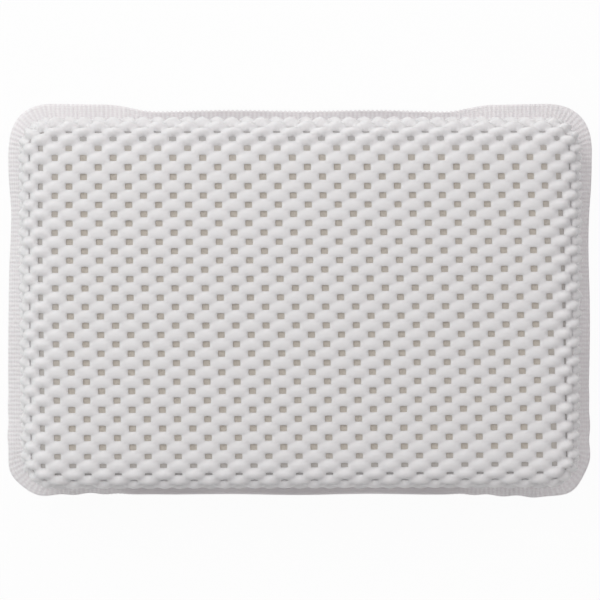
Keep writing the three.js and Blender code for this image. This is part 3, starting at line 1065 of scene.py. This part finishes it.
@dataclass
class BackPanel:
    """The film back: a shallow dish from weld to weld, blown out a little between the cups."""

    form: PillowForm
    finish: Finish
    thickness: float = 0.8 * MM
    pitch: float = 4.0 * MM
    hole_radius: float = 3.9 * MM
    hole_depth: float = 10 * MM
    weld_overlap: float = 0.8 * MM
    weld_lift: float = 0.25 * MM
    weld_ramp: float = 1.5 * MM
    hold_margin: float = 1 * MM
    mass: float = 0.2
    stiffness: float = 20.0
    bending: float = 0.8
    slack: float = 0.03
    pressure: float = 1.5
    puff_limit: float = 3.0 * MM
    quality: int = 6
    last_frame: int = 25
    name: str = "back_film"

    def build(self) -> None:
        """Makes the panel from a flat grid."""
        size = 2 * (self.form.flat + self.form.edge_radius + self.weld_overlap)
        across, up = (int(count) for count in np.ceil(size / self.pitch))
        Bench.clear()
        bpy.ops.mesh.primitive_grid_add(x_subdivisions=across, y_subdivisions=up, size=1)
        bench = Bench(self.name)
        bench.edit_all()
        bpy.ops.transform.resize(value=(*size, 1))
        flat = bench.points()
        bench.form(self._formed(flat))
        self._blow(bench, self._held(flat))
        bench.modify("SUBSURF", levels=1, render_levels=1)
        bench.modify("SOLIDIFY", thickness=self.thickness, offset=1.0)
        for place in CUP_PLACES:
            middle = middle_of(f"cup_washer_{place}")
            reach = self.hole_depth / 2
            bench.drill(middle, self.hole_radius, middle.z - reach, middle.z + reach)
        bench.finish(PILLOW_BODY, ["back_panel"], "film_pvc", self.finish)

    def _formed(self, flat: np.ndarray) -> np.ndarray:
        """Dishes the flat grid.

        Args:
            flat: The grid's points, as rows.

        Returns:
            Their places on the pillow, as rows.
        """
        form = self.form
        reach = form.over(flat).max(axis=1)
        lift = self.weld_lift * smooth(form.edge_radius - self.weld_ramp, form.edge_radius, reach)
        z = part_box("back_panel")[0].z + form.dish(reach) + lift
        return form.settle(np.column_stack([form.spread(flat, reach), z]))

    def _held(self, flat: np.ndarray) -> np.ndarray:
        """Finds the points that the weld and the cups' patches hold.

        Args:
            flat: The grid's points, as rows.

        Returns:
            One truth value for each point.
        """
        held = self.form.over(flat).max(axis=1) > self.form.edge_radius - self.hold_margin
        for place in CUP_PLACES:
            low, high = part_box(f"cup_patch_{place}")
            middle = (low + high) / 2
            away = np.hypot(flat[:, 0] - middle.x, flat[:, 1] - middle.y)
            held |= away < (high.x - low.x) / 2 + self.hold_margin
        return held

    def _blow(self, bench: Bench, held: np.ndarray) -> None:
        """Lets the slack film swell away from the foam, as cloth.

        Args:
            bench: The panel being made.
            held: Which of its vertices stay in place.
        """
        before = bench.points()
        group = bench.piece.vertex_groups.new(name="held")
        group.add(np.flatnonzero(held).tolist(), 1.0, "REPLACE")
        cloth = bench.piece.modifiers.new("Cloth", "CLOTH")
        settings = {
            "vertex_group_mass": group.name,
            "quality": self.quality,
            "mass": self.mass,
            "tension_stiffness": self.stiffness,
            "compression_stiffness": self.stiffness,
            "bending_stiffness": self.bending,
            "shrink_min": -self.slack,
            "use_pressure": True,
            "uniform_pressure_force": -self.pressure,
        }
        for key, value in settings.items():
            setattr(cloth.settings, key, value)
        cloth.settings.effector_weights.gravity = 0
        scene = bpy.context.scene
        for frame_number in range(1, self.last_frame + 1):
            scene.frame_set(frame_number)
        bpy.ops.object.modifier_apply(modifier=cloth.name)
        scene.frame_set(1)
        bench.piece.vertex_groups.clear()
        move = bench.points() - before
        move[:, 2] = np.minimum(move[:, 2], 0)
        length = np.linalg.norm(move, axis=1, keepdims=True)
        log.info("film swells by up to %.1f mm", length.max() / MM)
        bench.form(before + move * np.minimum(1, self.puff_limit / np.maximum(length, TINY)))


def quadratic(start: Sequence[float], pull: Sequence[float], end: Sequence[float], steps: int) -> np.ndarray:
    """Returns so many points of a curve from start to end that pull bends, as rows without the start."""
    t = np.linspace(0, 1, steps + 1)[1:, None]
    return (1 - t) ** 2 * np.array(start) + 2 * t * (1 - t) * np.array(pull) + t**2 * np.array(end)


def turn(name: str, profile: Sequence[Sequence[float]], foot: Sequence[float], sides: int) -> Bench:
    """Turns a profile by extruding a circle along it.

    Args:
        name: The piece's name.
        profile: Radius and height of each ring, in metres.
        foot: The axis in plan, and the height that the profile counts from.
        sides: How many sides the circle has.

    Returns:
        The bench with the turned mesh, closed where the profile closes or meets the axis.
    """
    least = 0.01 * MM
    radius, height = profile[0]
    Bench.clear()
    bpy.ops.mesh.primitive_circle_add(
        vertices=sides, radius=max(radius, least), location=(0, 0, height), enter_editmode=True
    )
    bench = Bench(name)
    bpy.ops.mesh.select_all(action="SELECT")
    for next_radius, next_height in profile[1:]:
        bpy.ops.mesh.extrude_edges_move(TRANSFORM_OT_translate={"value": (0, 0, next_height - height)})
        ratio = max(next_radius, least) / max(radius, least)
        bpy.ops.transform.resize(value=(ratio, ratio, 1))
        radius, height = next_radius, next_height
    bpy.ops.mesh.select_all(action="SELECT")
    bpy.ops.mesh.remove_doubles(threshold=5 * least)
    bpy.ops.mesh.normals_make_consistent(inside=False)
    bpy.ops.object.mode_set(mode="OBJECT")
    bpy.ops.object.transform_apply(location=True, rotation=True, scale=True)
    bench.form(bench.points() + foot)
    return bench


@dataclass
class CupFitting:
    """One suction cup with its patch outside the panel and its washer inside."""

    place: str
    clear: Finish
    film: Finish
    plastic: Finish
    lip_width: float = 1.6 * MM
    lip_edge: float = 0.9 * MM
    fine_round: float = 0.2 * MM
    hollow: float = 8.5 * MM
    hollow_pull: Band = (0.6, 0.95)
    dish_pull: float = 0.7
    stand: float = 12.5 * MM
    hub_radius: float = 6.6 * MM
    hub_height: float = 1.6 * MM
    hub_fillet: float = 0.4 * MM
    hub_round: float = 0.3 * MM
    neck_radius: float = 3.6 * MM
    head_radius: float = 6.8 * MM
    head_height: float = 4.8 * MM
    head_edge: float = 1.0 * MM
    crown_radius: float = 5 * MM
    hole_radius: float = 3.9 * MM
    edge_round: float = 0.25 * MM
    curve_steps: int = 10
    crown_steps: int = 7
    sides: int = 56

    def build(self) -> None:
        """Makes the three pieces."""
        self._cup()
        self._ring("cup_patch", "patch_pvc", self.film)
        self._ring("cup_washer", "washer_plastic", self.plastic)

    def _cup(self) -> None:
        """Makes the cup: hollow dish, hub, neck and mushroom head."""
        node = f"suction_cup_{self.place}"
        low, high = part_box(node)
        middle = middle_of(node)
        radius = (high.x - low.x) / 2
        top, stand, small = high.z, self.stand, self.fine_round
        edge = radius - self.lip_width
        hub, hub_z = self.hub_radius, stand - self.hub_height
        neck, head, head_z = self.neck_radius, self.head_radius, top - self.head_height
        pull_x, pull_z = self.hollow_pull
        profile = [(0, self.hollow)]
        pull = (edge * pull_x, self.hollow * pull_z)
        profile += [*quadratic(profile[-1], pull, (edge, 0), self.curve_steps)]
        profile += [(edge + small, 0), (radius - small, 0), (radius, small), (radius, self.lip_edge)]
        pull = (radius * self.dish_pull, self.hollow)
        profile += [*quadratic(profile[-1], pull, (hub + self.hub_fillet, hub_z), self.curve_steps)]
        profile += [(hub, hub_z + self.hub_fillet), (hub, stand - self.hub_round)]
        profile += [(hub - self.hub_round, stand), (neck + small, stand), (neck, stand + small)]
        profile += [(neck, head_z - small), (neck + small, head_z), (head - small, head_z)]
        profile += [(head, head_z + small), (head, head_z + self.head_edge)]
        profile += [*quadratic(profile[-1], (self.crown_radius, top), (0, top), self.crown_steps)]
        bench = turn(f"cup_{self.place}", profile, (middle.x, middle.y, 0), self.sides)
        bench.finish(f"cup_{self.place}", [node], "clear_pvc", self.clear)

    def _ring(self, kind: str, slot: str, finish: Finish) -> None:
        """Makes a flat ring with rounded edges round the neck.

        Args:
            kind: The start of the CAD node's name.
            slot: Passed on to Bench.finish, which does not use it.
            finish: The ring's finish.
        """
        node = f"{kind}_{self.place}"
        low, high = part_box(node)
        middle = middle_of(node)
        inner, outer = self.hole_radius, (high.x - low.x) / 2
        thick = high.z - low.z
        r = self.edge_round
        profile = [(inner, r), (inner + r, 0), (outer - r, 0), (outer, r), (outer, thick - r)]
        profile += [(outer - r, thick), (inner + r, thick), (inner, thick - r), (inner, r)]
        bench = turn(f"{kind}_ring_{self.place}", profile, (middle.x, middle.y, low.z), self.sides)
        bench.finish(PILLOW_BODY, [node], slot, finish)


@dataclass(frozen=True)
class Lamp:
    """One soft lamp, with its place in metres and its power in watts."""

    name: str
    place: tuple[float, float, float]
    power: float
    colour: Colour = NEUTRAL


@dataclass
class Studio:
    """The white floor, the soft lamps and the camera at the photograph's angle."""

    form: PillowForm
    distance: float = 1.3
    tilt: float = math.radians(3.6)
    swing: float = math.radians(1.0)
    frame_width: float = 0.3396
    sensor_width: float = 36.0
    floor_width: float = 8.0
    floor_drop: float = 0.1 * MM
    floor_grey: Colour = (0.9, 0.9, 0.9)
    floor_roughness: float = 0.8
    floor_glow: float = 0.95
    world_light: float = 0.2
    lamp_width: float = 1.0
    lamps: tuple[Lamp, ...] = (
        Lamp("key", (-0.8, 0.8, 1.13), 9.2),
        Lamp("front", (0.0, 0.0, 1.6), 4.2),
        Lamp("upper_fill", (0.8, 0.8, 1.13), 3.7, WARM),
        Lamp("lower_fill", (0.0, -1.13, 1.13), 2.35, WARM),
        Lamp("left_rake", (-1.55, 0.0, 0.41), 3.7, COOL),
        Lamp("top_rake", (0.0, 1.6, 0.06), 8.0),
    )

    def build(self) -> None:
        """Makes the floor, lights and camera."""
        self._floor()
        self._world()
        for lamp in self.lamps:
            self._hang(lamp)
        self._camera()

    def _floor(self) -> None:
        """Makes a floor that looks white and keeps a faint shadow."""
        Bench.clear()
        bpy.ops.mesh.primitive_plane_add(size=self.floor_width, location=(0, 0, -self.floor_drop))
        floor = bpy.context.active_object
        floor.name = "studio_floor"
        graph = Graph(bpy.data.materials.new("studio_floor"))
        graph.shade(Base_Color=self.floor_grey, Roughness=self.floor_roughness)
        glow = graph.node("ShaderNodeEmission", None, {"Color": NEUTRAL, "Strength": 1.0})
        shaded = Signal(graph, graph.shader.outputs[0])
        sockets = {0: self._seen(graph) * self.floor_glow, 1: shaded, 2: glow}
        graph.feed(graph.output.inputs["Surface"], graph.node("ShaderNodeMixShader", None, sockets))
        floor.data.materials.append(graph.owner)

    @staticmethod
    def _seen(graph: Graph) -> Signal:
        """Returns 1 for the rays of the camera, of reflections and of clear pieces, and 0 for others."""
        camera, glossy, through = (graph.node("ShaderNodeLightPath", output=kind) for kind in SEEN_RAYS)
        return camera.at_least(glossy).at_least(through)

    def _world(self) -> None:
        """Lights the whole scene evenly, and is white behind it."""
        graph = Graph(bpy.data.worlds.new("studio"), "ShaderNodeBackground", "ShaderNodeOutputWorld")
        graph.shade(Color=NEUTRAL, Strength=self._seen(graph).at_least(self.world_light))
        bpy.context.scene.world = graph.owner

    def _hang(self, lamp: Lamp) -> None:
        """Hangs one lamp so that it faces the pillow.

        Args:
            lamp: The lamp.
        """
        Bench.clear()
        bpy.ops.object.light_add(type="AREA", location=lamp.place)
        hung = bpy.context.active_object
        hung.name = lamp.name
        hung.data.shape = "SQUARE"
        hung.data.size = self.lamp_width
        hung.data.energy = lamp.power
        hung.data.color = lamp.colour
        way = Vector((0, 0, self.form.face_z)) - Vector(lamp.place)
        hung.rotation_euler = way.to_track_quat("-Z", "Y").to_euler()

    def _camera(self) -> None:
        """Looks down on the pillow's face."""
        target = Vector((0, 0, self.form.rim_z))
        back = Vector((-math.sin(self.swing), math.sin(self.tilt), 1.0)).normalized()
        Bench.clear()
        bpy.ops.object.camera_add(location=target + back * self.distance)
        camera = bpy.context.active_object
        across = Vector((0, 1, 0)).cross(back).normalized()
        camera.rotation_euler = Matrix((across, back.cross(across), back)).transposed().to_euler()
        camera.data.sensor_width = self.sensor_width
        camera.data.lens = self.sensor_width * self.distance / self.frame_width
        bpy.context.scene.camera = camera


def main() -> None:
    """Builds and dresses the pillow, with its floor, lamps and camera."""
    logging.basicConfig(level=logging.INFO, format="%(name)s: %(message)s")
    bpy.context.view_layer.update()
    form = PillowForm.from_frame()
    clear, film, plastic = ClearFinish(), FilmFinish(), WasherFinish()
    Studio(form).build()
    MeshCover(form, MeshFinish()).build()
    WeldedRim(form, RimFinish()).build()
    FoamCore(form, FoamFinish()).build()
    BackPanel(form, film).build()
    for place in CUP_PLACES:
        CupFitting(place, clear, film, plastic).build()
    bpy.context.scene.view_settings.view_transform = "Standard"


if __name__ == "__main__":
    main()
